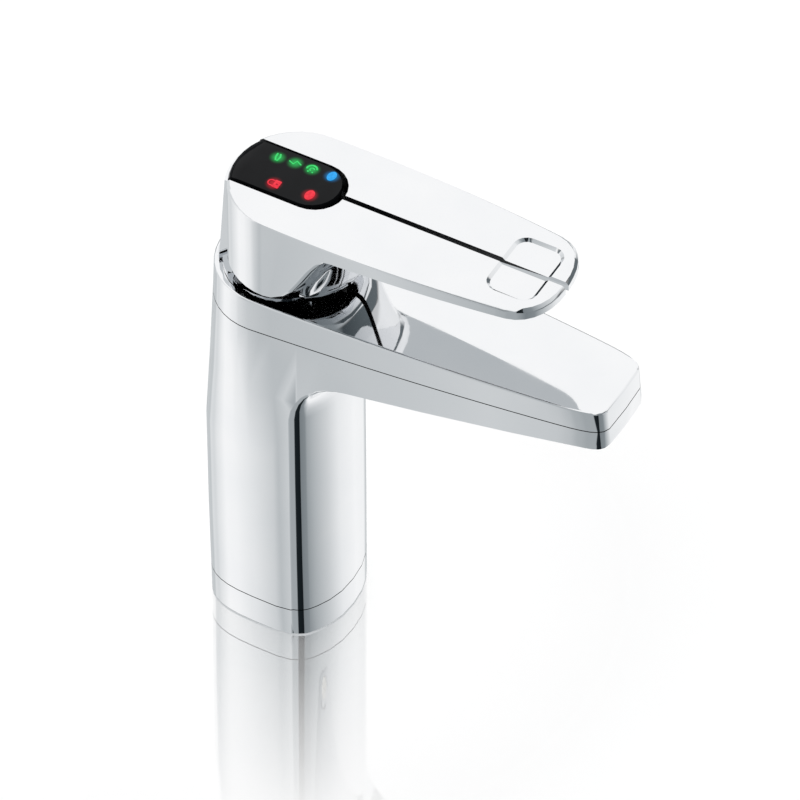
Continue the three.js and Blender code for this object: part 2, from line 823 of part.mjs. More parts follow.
/** One lever, on the side -1 (hot) or +1 (cold). */
function lever(side) {
  const whole = meet(leverWallSolid(0, headBottom - 5), belowCrown(0), leverUnderside());
  const onSide = (fromX, fromY, toZ) => {
    const reach = [side * fromX, side * farSide].sort((a, b) => a - b);
    return box([reach[0], fromY, 0], [reach[1], farSide, toZ]);
  };
  const halfSpace = onSide(slitWidth / 2, farFront, farHigh);
  const pocketArea = onSide(cheekInside, plungerY - fingerLength, leverTop - leverRoof);
  const pocket = meet(leverWallSolid(leverWall, headBottom - 10, leverTop), pocketArea);
  const pinHole = bar('x', [pivotY, pivotZ], bushOuterRadius + clearance, -cheekInside - 1, cheekInside + 1);
  const inner = side * (plungerX - plungerRadius + 0.5);
  const outer = side * (slotHalfWidth + 1);
  const finger = box(
    [Math.min(inner, outer), plungerY - fingerLength / 2, fingerBottom],
    [Math.max(inner, outer), plungerY + fingerLength / 2, fingerBottom + fingerHeight],
  );
  return join(cut(meet(whole, halfSpace), carrierSlot(), dishSpace(), pocket, pinHole), finger);
}

// ---------------------------------------------------------------- display carrier and pivot

const carrierHalfWidth = slotHalfWidth - carrierSideGap;
const carrierFrontY = slotFrontY + carrierFrontGap;
const carrierCorner = slotCornerRadius - carrierSideGap;
const lensBottom = leverTop + leverCrown - lensThickness;
const flangeBottom = coverTop - wellDepth + clearance;

/** The carrier's back face, which flares out towards its foot, as a solid inset by a thickness. */
function spineEnvelope(inset) {
  const ring = ([z, flare]) => wholeOutline(halfOutline(shrink(leverPlan, inset - flare)))
    .map(([x, y]) => [x, y, z]);
  return loft([[flangeBottom - 1, spineFlareFoot], [leverTop + 2, spineFlareTop]].map(ring), middleOf);
}

/** The carrier's plan inset by a thickness, raised between two heights in front of its back face. */
function carrierBlock(inset, z0, z1) {
  const outline = tongue(carrierHalfWidth - inset, carrierFrontY + inset, carrierCorner - inset, farSide);
  return meet(raise(outline, z0, z1), spineEnvelope(inset));
}

function displayCarrier() {
  const body = carrierBlock(0, flangeBottom, lensBottom - clearance);
  const flange = bar('z', [0, wellCentreY], flangeRadius, flangeBottom, flangeBottom + flangeThickness, 32);
  const lowerRoom = carrierBlock(carrierWall + ledgeWidth, carrierFloor, ledgeZ + 1);
  const upperRoom = carrierBlock(carrierWall, ledgeZ, leverTop + 10);
  const pinBosses = bothSides((side) => bar(
    'x',
    [pivotY, pivotZ],
    pinRadius + 1.6,
    Math.min(side * 4.5, side * (carrierHalfWidth - 1)),
    Math.max(side * 4.5, side * (carrierHalfWidth - 1)),
    14,
  ));
  const windowReach = fingerLength / 2 + windowRoom;
  const windows = bothSides((side) => {
    const reach = [side * (plungerX - plungerRadius), side * (slotHalfWidth + 1)];
    return box(
      [Math.min(...reach), plungerY - windowReach, fingerBottom - windowRoom],
      [Math.max(...reach), plungerY + windowReach, fingerBottom + fingerHeight + windowRoom],
    );
  });
  const pinHole = bar('x', [pivotY, pivotZ], pinRadius + clearance, -slotHalfWidth, slotHalfWidth);
  const headSeat = flangeBottom + flangeThickness - screwHeadDepth;
  const screwHoles = carrierScrewPlaces.flatMap((place) => [
    bar('z', place, screwHoleRadius, flangeBottom - 1, coverTop + 5, 12),
    bar('z', place, screwHeadRadius + clearance, headSeat, coverTop + 5, 12),
  ]);
  return cut(
    join(cut(join(body, flange), lowerRoom, upperRoom), ...pinBosses),
    pinHole,
    cablePassage(),
    ...windows,
    ...stemHoles(),
    ...screwHoles,
  );
}

function displayLens() {
  const cornerRadius = slotCornerRadius - lensSideGap;
  const outline = tongue(slotHalfWidth - lensSideGap, slotFrontY + lensFrontGap, cornerRadius, farSide);
  const body = raise(outline, lensBottom, leverTop + 5);
  const top = leverTop + 0.6 * leverCrown;
  const levels = [[lensBottom - 1, 0], [top - lensEdgeRadius, 0]];
  levels.push([top - 0.4 * lensEdgeRadius, 0.3 * lensEdgeRadius], [top, lensEdgeRadius]);
  levels.push([leverTop + leverCrown, 4 * lensEdgeRadius]);
  const rings = levels.map(([z, round]) => wholeOutline(halfOutline(shrink(leverPlan, lensBackInset + round)))
    .map(([x, y]) => [x, y, z]));
  return meet(body, loft(rings, middleOf), belowCrown(0.1));
}

const boardBottom = ledgeZ + clearance;
const boardTop = boardBottom + boardThickness;
const maskBottom = lensBottom - clearance - maskThickness;

const displayBoard = () => carrierBlock(carrierWall + clearance, boardBottom, boardTop);

function lightMask() {
  const wells = ledPlaces.map(([x, y]) => bar('z', [x, y], lightWellRadius, maskBottom - 1, leverTop, 8));
  return cut(carrierBlock(carrierWall + clearance, maskBottom, lensBottom - clearance), ...wells);
}

const led = ([x, y]) => box(
  [x - ledSize / 2, y - ledSize / 2, boardTop],
  [x + ledSize / 2, y + ledSize / 2, boardTop + ledHeight - 0.1],
);

const hallSensor = (side) => box(
  [side * plungerX - 1.5, plungerY - 1, boardBottom - 1.2],
  [side * plungerX + 1.5, plungerY + 1, boardBottom],
);

const boardConnector = () => box([-3, 4, boardBottom - 5], [3, 8, boardBottom]);

const pinEnd = cheekInside + clearance + bushFlange + clearance + clipThickness + pinEndRoom;
const pivotPin = () => bar('x', [pivotY, pivotZ], pinRadius, -pinEnd, pinEnd);

/** Turns a lathe about Z into one about the pivot's axis, starting at x and pointing outwards. */
function onPivot(geometry, side, x) {
  geometry.rotateY((side * Math.PI) / 2);
  geometry.translate(side * x, pivotY, pivotZ);
  return solid(geometry);
}

function leverBush(side) {
  const bore = pinRadius + clearance;
  const length = leverCheek + clearance;
  return onPivot(turn([
    [bore, 0],
    [bushOuterRadius, 0],
    [bushOuterRadius, length],
    [bushOuterRadius + 1.2, length],
    [bushOuterRadius + 1.2, length + bushFlange],
    [bore, length + bushFlange],
    [bore, 0],
  ], 16), side, slotHalfWidth);
}

/** An open retaining ring on the pin's end. */
function retainingClip(side) {
  const inner = pinRadius + clearance;
  const outer = inner + clipWidth;
  const opening = 0.5;
  const shape = new THREE.Shape();
  shape.absarc(0, 0, outer, opening, 2 * Math.PI - opening, false);
  shape.absarc(0, 0, inner, 2 * Math.PI - opening, opening, true);
  shape.closePath();
  const settings = { depth: clipThickness, bevelEnabled: false, curveSegments: 10 };
  const geometry = new THREE.ExtrudeGeometry(shape, settings);
  return onPivot(geometry, side, cheekInside + clearance + bushFlange + clearance);
}

const plungerTop = fingerBottom - clearance;
const plungerHeadBottom = plungerTop - plungerHeadHeight;

function plunger(side) {
  const geometry = turn([
    [0, coverTop - wellDepth - coverTopThickness],
    [plungerStemRadius, coverTop - wellDepth - coverTopThickness],
    [plungerStemRadius, plungerHeadBottom],
    [plungerRadius, plungerHeadBottom],
    [plungerRadius, plungerTop - 0.4],
    [plungerRadius - 0.4, plungerTop],
    [0, plungerTop],
  ], 14);
  geometry.translate(side * plungerX, plungerY, 0);
  return solid(geometry);
}

/** A helical compression spring round the plunger's stem. */
function returnSpring(side) {
  const radius = plungerRadius - springWire + 0.1;
  const low = carrierFloor + clearance + springWire;
  const high = plungerHeadBottom - clearance - springWire;
  const stepsPerTurn = 8;
  const points = [];
  for (let i = 0; i <= springTurns * stepsPerTurn; i += 1) {
    const angle = (2 * Math.PI * i) / stepsPerTurn;
    points.push(new THREE.Vector3(
      side * plungerX + radius * Math.cos(angle),
      plungerY + radius * Math.sin(angle),
      THREE.MathUtils.lerp(low, high, i / (springTurns * stepsPerTurn)),
    ));
  }
  return sweep(points, springWire, 0, 4, springTurns * stepsPerTurn);
}

// ---------------------------------------------------------------- tubes and cable

/** A round section swept along a smooth curve through points, with a bore if one is given. */
function sweep(points, radius, bore, sides, steps = points.length * 2) {
  const section = (size) => circle(0, 0, size, sides).map(([x, y]) => new THREE.Vector2(x, y));
  const shape = new THREE.Shape(section(radius));
  if (bore > 0) {
    shape.holes.push(new THREE.Path(section(bore).reverse()));
  }
  const path = new THREE.CatmullRomCurve3(points);
  return solid(new THREE.ExtrudeGeometry(shape, { steps, extrudePath: path, bevelEnabled: false }));
}

const socketZ = (undersideHeight(manifoldBackY) + columnWall + manifoldTop) / 2 + 0.6;

/** A tube climbs the column, bends into the spout and runs on to its socket in the manifold. */
function waterTube(side) {
  const bendZ = coverTop - tubeBendDrop;
  const straightFrom = manifoldBackY + 8;
  const climb = [0, 0.35, 0.7, 1].map((share) => [tubeX, tubeY, THREE.MathUtils.lerp(0.6, bendZ, share)]);
  const bend = [[0.05, 17], [0.18, 26], [0.4, 28.5], [0.75, 31]].map(([share, rise]) => [
    THREE.MathUtils.lerp(tubeX, socketX, share),
    THREE.MathUtils.lerp(tubeY, straightFrom, share),
    bendZ + rise,
  ]);
  const route = [
    ...climb,
    ...bend,
    [socketX, straightFrom, socketZ],
    [socketX, manifoldBackY - socketDepth + clearance, socketZ],
  ].map(([x, y, z]) => new THREE.Vector3(side * x, y, z));
  return sweep(route, tubeRadius, tubeBore, 8, 14);
}

function insulatingSleeve() {
  return raise(
    circle(-tubeX, tubeY, sleeveRadius, 16),
    sleeveBottom,
    sleeveTop,
    [circle(-tubeX, tubeY, tubeRadius + clearance, 16)],
  );
}

function controlCable() {
  const route = [
    [0, 6, boardBottom - 5 - clearance],
    [0, 5.5, carrierFloor - 2.5],
    [0, 6, carrierFloor - 22.5],
    [0, 9, carrierFloor - 62.5],
    [0, cableY, 60],
    [0, cableY, 20],
    [0, cableY, 0.6],
  ].map(([x, y, z]) => new THREE.Vector3(x, y, z));
  return sweep(route, cableRadius, 0, 8, 15);
}

function cableGrommet() {
  const geometry = turn([
    [cableRadius + clearance, 0.5],
    [grommetRadius, 0.5],
    [grommetRadius, footPlateThickness + clearance],
    [grommetRadius + 1.4, footPlateThickness + clearance],
    [grommetRadius + 1.4, footPlateThickness + 1.6],
    [cableRadius + clearance, footPlateThickness + 1.6],
    [cableRadius + clearance, 0.5],
  ], 16);
  geometry.translate(0, cableY, 0);
  return solid(geometry);
}

// ---------------------------------------------------------------- outlet

function outletManifold() {
  const floor = (y) => undersideHeight(y) + columnWall + clearance + undersideBow;
  const block = across([
    [manifoldBackY, floor(manifoldBackY)],
    [manifoldBackY, manifoldTop],
    [manifoldFrontY, manifoldTop],
    [manifoldFrontY, floor(manifoldFrontY)],
  ].reverse(), -manifoldHalfWidth, manifoldHalfWidth);
  const sockets = bothSides((side) => bar(
    'y',
    [side * socketX, socketZ],
    tubeRadius + clearance,
    manifoldBackY - socketDepth,
    manifoldBackY + 1,
    12,
  ));
  const drillings = bothSides((side) => bar(
    'y',
    [side * socketX, socketZ],
    tubeBore,
    nozzleY,
    manifoldBackY,
    10,
  ));
  const gallery = bar('x', [nozzleY, socketZ], tubeBore, -socketX, socketX, 10);
  const seatDepth = nozzleNeckLength + nozzleSealThickness + 2 * clearance;
  const chamber = nozzleSpace(nozzleBore, -3, 9, 20);
  const seat = nozzleSpace(nozzleNeckRadius + clearance, -seatDepth, seatDepth);
  return cut(block, ...sockets, ...drillings, gallery, chamber, seat);
}

function outletNozzle() {
  const recess = -nozzleHeight + strainerThickness + 0.4;
  return atNozzle(turn([
    [nozzleBore, recess],
    [strainerRadius + clearance, recess],
    [strainerRadius + clearance, -nozzleHeight],
    [nozzleRadius - 0.5, -nozzleHeight],
    [nozzleRadius, -nozzleHeight + 0.5],
    [nozzleRadius, -clearance],
    [nozzleNeckRadius, -clearance],
    [nozzleNeckRadius, nozzleNeckLength],
    [nozzleBore, nozzleNeckLength],
    [nozzleBore, recess],
  ], 24));
}

/** A moulded disc with a ring pattern of holes that straightens the flow. */
function flowStrainer() {
  const holes = [[0, 0]];
  for (const [radius, count] of strainerRings) {
    for (let i = 0; i < count; i += 1) {
      const angle = (2 * Math.PI * i) / count;
      holes.push([radius * Math.cos(angle), radius * Math.sin(angle)]);
    }
  }
  const shape = new THREE.Shape(circle(0, 0, strainerRadius, 24).map(([x, y]) => new THREE.Vector2(x, y)));
  shape.holes = holes.map(([x, y]) => new THREE.Path(
    circle(x, y, strainerHole, 6).reverse().map(([u, v]) => new THREE.Vector2(u, v)),
  ));
  const geometry = new THREE.ExtrudeGeometry(shape, { depth: strainerThickness, bevelEnabled: false });
  geometry.translate(0, 0, -nozzleHeight + 0.1);
  return atNozzle(geometry);
}

function nozzleSeal() {
  const section = [];
  const middle = (nozzleBore + nozzleNeckRadius) / 2;
  const thick = nozzleSealThickness / 2;
  const height = nozzleNeckLength + clearance + thick;
  const steps = 6;
  for (let i = 0; i <= steps; i += 1) {
    const angle = (2 * Math.PI * i) / steps;
    section.push([middle + thick * Math.cos(angle), height + thick * Math.sin(angle)]);
  }
  return atNozzle(turn(section, 18));
}

// ---------------------------------------------------------------- assembly

const tap = new THREE.Group();

/** Adds one named piece, placed by its group's frame. */
function add(name, body, material, parent = tap) {
  const mesh = new THREE.Mesh(geometryOf(body), material);
  mesh.name = name;
  parent.add(mesh);
}

const sideNames = new Map([[-1, 'left'], [1, 'right']]);

add('base_ring', baseRing(), chrome());
add('base_seal', baseSeal(), rubber());
add('foot_plate', footPlate(), brass());
add('column_body', columnBody(), chrome());
add('top_cover', topCover(), chrome());
add('display_carrier', displayCarrier(), chrome());
add('display_lens', displayLens(), gloss());
add('light_mask', lightMask(), blackPlastic());
add('display_board', displayBoard(), laminate());
add('board_connector', boardConnector(), acetal());
add('control_cable', controlCable(), rubber());
add('cable_grommet', cableGrommet(), rubber());
add('pivot_pin', pivotPin(), steel());
add('boiling_tube', waterTube(-1), silicone());
add('chilled_tube', waterTube(1), silicone());
add('insulating_sleeve', insulatingSleeve(), rubber());
add('outlet_manifold', outletManifold(), acetal());
add('outlet_nozzle', outletNozzle(), chrome());
add('flow_strainer', flowStrainer(), acetal());
add('nozzle_seal', nozzleSeal(), rubber());

for (const [side, name] of sideNames) {
  add(`${name}_lever`, lever(side), chrome());
  add(`${name}_bush`, leverBush(side), acetal());
  add(`${name}_clip`, retainingClip(side), steel());
  add(`${name}_plunger`, plunger(side), acetal());
  add(`${name}_spring`, returnSpring(side), steel());
  add(`${name}_sensor`, hallSensor(side), blackPlastic());
}

ledPlaces.forEach((place, i) => add(`led_${i + 1}`, led(place), acetal()));

carrierScrewPlaces.forEach(([x, y], i) => {
  const geometry = screwGeometry(carrierScrewLength);
  geometry.translate(x, y, flangeBottom + flangeThickness);
  add(`carrier_screw_${i + 1}`, solid(geometry), steel());
});

footScrewPlaces.forEach(([x, y], i) => {
  const geometry = screwGeometry(footScrewLength);
  geometry.rotateX(Math.PI);
  geometry.translate(x, y, screwHeadDepth / 2);
  add(`foot_screw_${i + 1}`, solid(geometry), steel());
});

export default tap;
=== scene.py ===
"""Looks of a boiling water tap: polished chrome in a white studio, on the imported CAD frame."""

import json
import math

import bpy
import numpy as np
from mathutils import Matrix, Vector


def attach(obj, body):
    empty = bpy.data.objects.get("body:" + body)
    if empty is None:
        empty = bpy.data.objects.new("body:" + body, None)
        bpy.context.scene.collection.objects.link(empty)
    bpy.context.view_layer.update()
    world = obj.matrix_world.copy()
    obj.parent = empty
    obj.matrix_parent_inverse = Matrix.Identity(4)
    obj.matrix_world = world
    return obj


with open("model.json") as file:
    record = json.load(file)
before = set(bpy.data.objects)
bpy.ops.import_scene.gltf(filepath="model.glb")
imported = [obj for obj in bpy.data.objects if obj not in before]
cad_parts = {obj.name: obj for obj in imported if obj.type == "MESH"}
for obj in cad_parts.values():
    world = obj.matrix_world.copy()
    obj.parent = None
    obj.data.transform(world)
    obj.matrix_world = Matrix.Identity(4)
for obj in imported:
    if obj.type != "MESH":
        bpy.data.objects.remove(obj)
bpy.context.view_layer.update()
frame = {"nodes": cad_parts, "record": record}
nodes = frame["nodes"]
record = frame["record"]

MM = 0.001


# ---------------------------------------------------------------- the surfaces behind the facets

# The chrome is faceted. Most of its outer faces lie on one of a few smooth surfaces, and their
# corners take that surface's own normals, so that reflections run on without steps. A surface is
# a function that is zero on it and grows outwards, in millimetres. The sizes are the frame's own.
# SPOUT and LEVER are plans: outlines from above, along which a share runs from 0 at the centre to
# 1 at the tip.

# The column, from its foot to where it has blended into the spout.
FOOT = {"half_width": 24.3, "widest_y": -6.0, "back": 22.4, "power": 3.4}
CORNER = {"x": 22.8, "y": -18.6, "power": 3.0, "radius": 3.4}
COLUMN = {"barrel": 0.55, "blend_from": 88.0, "bow": 8.7, "bow_top": 7.7, "bow_power": 2.3}
# The spout, the arch under it, and the cover, whose seam lies less deep at the tip.
SPOUT = {
    "radius": 24.2, "back": 23.6, "centre_y": -1.0, "tip_y": -130.0, "taper": 3.8, "curve": 5.3,
    "power": 7.5, "round_from": 0.737, "tip_lean": 1.3, "back_lean": 0.7,
}
ARCH = {"radius": 22.0, "z": 107.3, "slope": 0.136, "bow": 1.2, "edge": 0.8}
COVER_TOP = 157.4
SEAM_DROP = {"rear": 13.7, "tip": 8.3}
BLEND_TOP = COVER_TOP - SEAM_DROP["rear"]
# The levers: their outline and crown, the round head with the scoop to the arms, the finger dish.
LEVER = {
    "radius": 23.9, "back": 23.9, "centre_y": -7.1, "tip_y": -108.2, "taper": -2.2, "curve": 7.65,
    "power": 2.4, "round_from": 0.866, "top": 194.8, "crown": 1.6,
}
HEAD = {
    "bottom": 162.0, "radius": 21.0, "flat": 0.97, "rise_y": -3.5, "scoop_y": -32.7, "reach": 9.0,
    "ease": 1.25, "arm_z": 189.3, "arm_rise": 0.038,
}
DISH = {"y": -92.6, "half_width": 14.6, "half_length": 10.1}
# A side turns into its round back over twice this length.
JOIN = 6.0
# The front's long edges turn until the sine of their angle is EDGE_TURN, and their surface goes on
# to EDGE_PAST times their width.
EDGE_TURN = 0.94
EDGE_PAST = 1.05
# An outline's width is worked out just short of its very end, where it drops to nothing.
NEARLY_ONE = 0.9999

# The polished faces reflect as if fuller than the facets: the sides have a long crown, the back is
# squarer, the corners start later, the levers' walls lean in and the cover rises a little towards
# the tip. This bends the normals alone, by 1 to 3 degrees on most of the body and by up to 12 on
# its back and corners and on the levers' walls.
SOFT_CORNER = {"x": 23.7, "y": -18.6, "power": 8.0}
SOFT_BACK = {"body": 2.9, "lever": 2.3}
CROWN = {"slope": 0.065, "middle_y": -10.7, "reach": 8.0}
LEVER_LEAN = 0.2
COVER_RISE = 0.025

# A face lies on a surface if it is this near, in millimetres and in degrees.
MATCH_DISTANCE = 0.35
MATCH_ANGLE = 18
# Any other face takes each corner's normal from the faces that meet there: from those that lie on a
# surface, if they are turned from it by less than BLEND_ANGLE, or else from all within OWN_ANGLE.
BLEND_ANGLE = 50
OWN_ANGLE = 30


def smoothstep(value, low, high):
    """Goes from 0 at low to 1 at high, level at both ends."""
    share = np.clip((value - low) / (high - low), 0, 1)
    return share * share * (3 - 2 * share)


def plan_share(plan, y):
    """How far along a plan y is, from 0 at its centre to 1 at its tip."""
    return (plan["centre_y"] - y) / (plan["centre_y"] - plan["tip_y"])


def side_width(plan, y):
    """Half-width of a plan's side at y, before its tip is rounded."""
    share = np.maximum(0, plan_share(plan, y))
    return plan["radius"] - plan["taper"] * share - plan["curve"] * share**2


def plan_width(plan, y):
    """Half-width of a plan at y with its rounded tip."""
    share = (plan_share(plan, y) - plan["round_from"]) / (1 - plan["round_from"])
    along = np.clip(share, 0, NEARLY_ONE)
    return side_width(plan, y) * (1 - along ** plan["power"]) ** (1 / plan["power"])


def back_distance(plan, x, y, back, power):
    """Distance outside a plan's round back."""
    depth = np.maximum(y - plan["centre_y"], 0)
    reach = ((abs(x) / plan["radius"]) ** power + (depth / back) ** power) ** (1 / power)
    return (reach - 1) * plan["radius"]


def side_or_back(plan, y, side, back):
    """Joins the side's distance to the back's over a short stretch."""
    share = smoothstep(y, plan["centre_y"] - JOIN, plan["centre_y"] + JOIN)
    return (1 - share) * side + share * back


def foot_width(y, corner):
    """Half-width of the column's own outline."""
    reach = np.clip((y - FOOT["widest_y"]) / (corner["y"] - FOOT["widest_y"]), 0, 1)
    front = FOOT["half_width"] - (FOOT["half_width"] - corner["x"]) * reach ** corner["power"]
    reach = np.clip((y - FOOT["widest_y"]) / (FOOT["back"] - FOOT["widest_y"]), 0, NEARLY_ONE)
    rear = FOOT["half_width"] * (1 - reach ** FOOT["power"]) ** (1 / FOOT["power"])
    return np.where(y < FOOT["widest_y"], front, rear)


def barrel(z):
    """How far the column swells at z."""
    return COLUMN["barrel"] * np.sin(np.pi * np.clip(z / BLEND_TOP, 0, 1))


def column_share(y, z):
    """How much of the side's shape is the column's own: none in the spout."""
    behind = 1 - smoothstep(CORNER["y"] - y, 0, FOOT["back"])
    return behind * (1 - smoothstep(z, COLUMN["blend_from"], BLEND_TOP))


def side_offset(y, z, corner=CORNER):
    """How far the column's side stands out from the spout's outline."""
    spout = side_width(SPOUT, np.maximum(y, CORNER["y"]))
    return (foot_width(y, corner) - spout + barrel(z)) * column_share(y, z)


def body_wall(x, y, z, corner=CORNER, power=2.0):
    """The side and back of the column, the spout and the cover."""
    share = 1 - smoothstep(z, COLUMN["blend_from"], BLEND_TOP)
    lean = SPOUT["tip_lean"] * np.clip((COVER_TOP - z) / SEAM_DROP["tip"], 0, 1)
    front = lean * smoothstep(SPOUT["tip_y"] + FOOT["back"] - y, 0, FOOT["back"])
    side = abs(x) - plan_width(SPOUT, y + front) - side_offset(y, z, corner)
    back = SPOUT["back"] - SPOUT["back_lean"] * np.clip((z - BLEND_TOP) / SEAM_DROP["rear"], 0, 1)
    depth = np.maximum(y - FOOT["widest_y"], 0) / (FOOT["back"] - FOOT["widest_y"] + barrel(z))
    width = FOOT["half_width"] + barrel(z)
    foot = ((abs(x) / width) ** FOOT["power"] + depth ** FOOT["power"]) ** (1 / FOOT["power"]) - 1
    rear = share * foot * width + (1 - share) * back_distance(SPOUT, x, y, back, power)
    return side_or_back(SPOUT, y, side, rear)


def soft_body_wall(x, y, z):
    """The body's wall with its softened shading."""
    crown = CROWN["slope"] * (np.hypot(y - CROWN["middle_y"], CROWN["reach"]) - CROWN["reach"])
    return body_wall(x, y, z, SOFT_CORNER, SOFT_BACK["body"]) + crown * column_share(y, z)


def body_front(x, y, z):
    """The column's bowed front, the arch and the spout's underside."""
    end = np.pi / 2 - np.arctan(ARCH["slope"])
    centre_y = CORNER["y"] - ARCH["radius"]
    angle = np.clip(np.arctan2(z - ARCH["z"], np.maximum(y - centre_y, 1e-6)), 0, end)
    turn = angle / end
    on_arch = (z > ARCH["z"]) & (angle < end)
    end_y = centre_y + ARCH["radius"] * np.cos(end)
    end_z = ARCH["z"] + ARCH["radius"] * np.sin(end)
    below = z <= ARCH["z"]
    distance = np.where(
        below,
        CORNER["y"] - y,
        np.where(
            on_arch,
            ARCH["radius"] - np.hypot(y - centre_y, z - ARCH["z"]),
            -((y - end_y) * np.cos(end) + (z - end_z) * np.sin(end)),
        ),
    )
    rise = np.clip(z / ARCH["z"], 0, 1)
    column_bow = COLUMN["bow"] + (COLUMN["bow_top"] - COLUMN["bow"]) * rise
    arch_bow = COLUMN["bow_top"] + (ARCH["bow"] - COLUMN["bow_top"]) * smoothstep(turn, 0, 1)
    bow = np.where(below, column_bow, arch_bow)
    radius = CORNER["radius"] + (ARCH["edge"] - CORNER["radius"]) * turn
    station_y = np.where(on_arch, centre_y + ARCH["radius"] * np.cos(angle), y)
    station_y = np.where(below, CORNER["y"], station_y)
    station_z = np.where(on_arch, ARCH["z"] + ARCH["radius"] * np.sin(angle), z)
    width = side_width(SPOUT, station_y) + side_offset(station_y, station_z)
    share = abs(x) / width
    into = np.clip((abs(x) - width + radius) / radius, 0, EDGE_PAST)
    rounded = radius * (1 - np.sqrt(1 - (EDGE_TURN * into) ** 2))
    return distance - bow * (1 - share ** COLUMN["bow_power"]) + rounded


def cover_plane(x, y, z):
    """The top of the cover."""
    return z - COVER_TOP


def soft_cover(x, y, z):
    """The top of the cover with its softened shading."""
    return cover_plane(x, y, z) + COVER_RISE * y


def lever_wall(x, y, z, power=2.0):
    """The side and back of the levers and their head."""
    side = abs(x) - plan_width(LEVER, y)
    return side_or_back(LEVER, y, side, back_distance(LEVER, x, y, LEVER["back"], power))


def soft_lever_wall(x, y, z):
    """The levers' wall with its softened shading."""
    return lever_wall(x, y, z, SOFT_BACK["lever"]) + LEVER_LEAN * z


def crown_height(x):
    """Height of the crown that the levers and the display share."""
    return LEVER["top"] + LEVER["crown"] * (1 - (x / LEVER["radius"]) ** 2)


def lever_crown(x, y, z):
    """The top of the levers and the display."""
    return z - crown_height(x)


def lever_underside(x, y, z):
    """The scoop in front of the round head and the underside of the arm."""
    across = np.clip(abs(x) / LEVER["radius"], 0, 1)
    beyond = (abs(x) - HEAD["radius"]) / (LEVER["radius"] - HEAD["radius"])
    inner = np.sqrt(np.maximum(HEAD["radius"] ** 2 - x**2, 0))
    front = np.where(
        beyond > 0,
        LEVER["centre_y"] + (HEAD["rise_y"] - LEVER["centre_y"]) * np.clip(beyond, 0, 1),
        LEVER["centre_y"] - HEAD["flat"] * inner,
    )
    arm_start = HEAD["scoop_y"] - HEAD["reach"] * np.sqrt(1 - across**2)
    along = np.clip((front - y) / (front - arm_start), 0, 1) ** HEAD["ease"]
    rise = along**3 * (along * (6 * along - 15) + 10)
    arm = HEAD["arm_z"] + HEAD["arm_rise"] * (HEAD["scoop_y"] - np.minimum(y, arm_start))
    return HEAD["bottom"] + (arm - HEAD["bottom"]) * rise - z


# ---------------------------------------------------------------- true surface normals


def unit(vectors):
    """Vectors scaled to a length of one; those without a length stay zero."""
    return vectors / np.maximum(np.linalg.norm(vectors, axis=1, keepdims=True), 1e-12)


def gradient(surface, points):
    """Unit normals of a surface at points."""
    step = 0.01
    parts = []
    for axis in range(3):
        shift = np.zeros(3)
        shift[axis] = step
        parts.append(surface(*(points + shift).T) - surface(*(points - shift).T))
    return unit(np.stack(parts, axis=1))


def in_dish(x, y, z):
    """Whether points are in the finger dish, whose walls keep their own normals."""
    return (abs(x) < DISH["half_width"]) & (abs(y - DISH["y"]) < DISH["half_length"])


def match_faces(corners, flat, surfaces):
    """The index of the surface that each face lies on, or -1."""
    centres = corners.mean(axis=1)
    best = np.full(len(corners), math.cos(math.radians(MATCH_ANGLE)))
    chosen = np.full(len(corners), -1)
    for index, (surface, _) in enumerate(surfaces):
        off = np.max([abs(surface(*corners[:, k].T)) for k in range(3)], axis=0)
        match = (gradient(surface, centres) * flat).sum(axis=1)
        better = (off < MATCH_DISTANCE) & (match > best)
        best[better] = match[better]
        chosen[better] = index
    return chosen


def corners_by_point(corners):
    """Groups of the face corners that meet at one point, each by its number in face order."""
    _, place = np.unique(np.round(corners.reshape(-1, 3), 3), axis=0, return_inverse=True)
    place = place.reshape(-1)
    order = np.argsort(place, kind="stable")
    return np.split(order, np.flatnonzero(np.diff(place[order])) + 1)


def true_normals(name, surfaces):
    """Gives a node's corners the normals of the surfaces that its faces lie on.

    A face on none of them, such as a bevel, takes its neighbours' normals at shared corners.
    """
    mesh = nodes[name].data
    spots = np.array([vertex.co for vertex in mesh.vertices]) / MM
    faces = np.array([polygon.vertices[:] for polygon in mesh.polygons])
    loops = np.array([list(polygon.loop_indices) for polygon in mesh.polygons])
    corners = spots[faces]
    across = np.cross(corners[:, 1] - corners[:, 0], corners[:, 2] - corners[:, 0])
    area = np.linalg.norm(across, axis=1)
    flat = unit(across)

    chosen = match_faces(corners, flat, surfaces)
    normals = np.repeat(flat[:, None], 3, axis=1)
    for index, (_, shading) in enumerate(surfaces):
        mine = chosen == index
        for k in range(3):
            normals[mine, k] = gradient(shading, corners[mine, k])
    normals = normals.reshape(-1, 3)

    smooth = normals.copy()
    crisp = in_dish(*corners.mean(axis=1).T)
    blend_limit = math.cos(math.radians(BLEND_ANGLE))
    own_limit = math.cos(math.radians(OWN_ANGLE))
    for group in corners_by_point(corners):
        owners = group // 3
        for corner, owner in zip(group, owners):
            if chosen[owner] >= 0:
                continue
            alike = flat[owners] @ flat[owner]
            sure = (alike > blend_limit) & (chosen[owners] >= 0) & ~crisp[owner]
            use = sure if sure.any() else alike > own_limit
            smooth[corner] = (normals[group[use]] * area[owners[use], None]).sum(axis=0)

    per_loop = np.zeros((len(mesh.loops), 3))
    per_loop[loops.reshape(-1)] = unit(smooth)
    mesh.polygons.foreach_set("use_smooth", [True] * len(mesh.polygons))
    mesh.normals_split_custom_set([tuple(normal) for normal in per_loop])


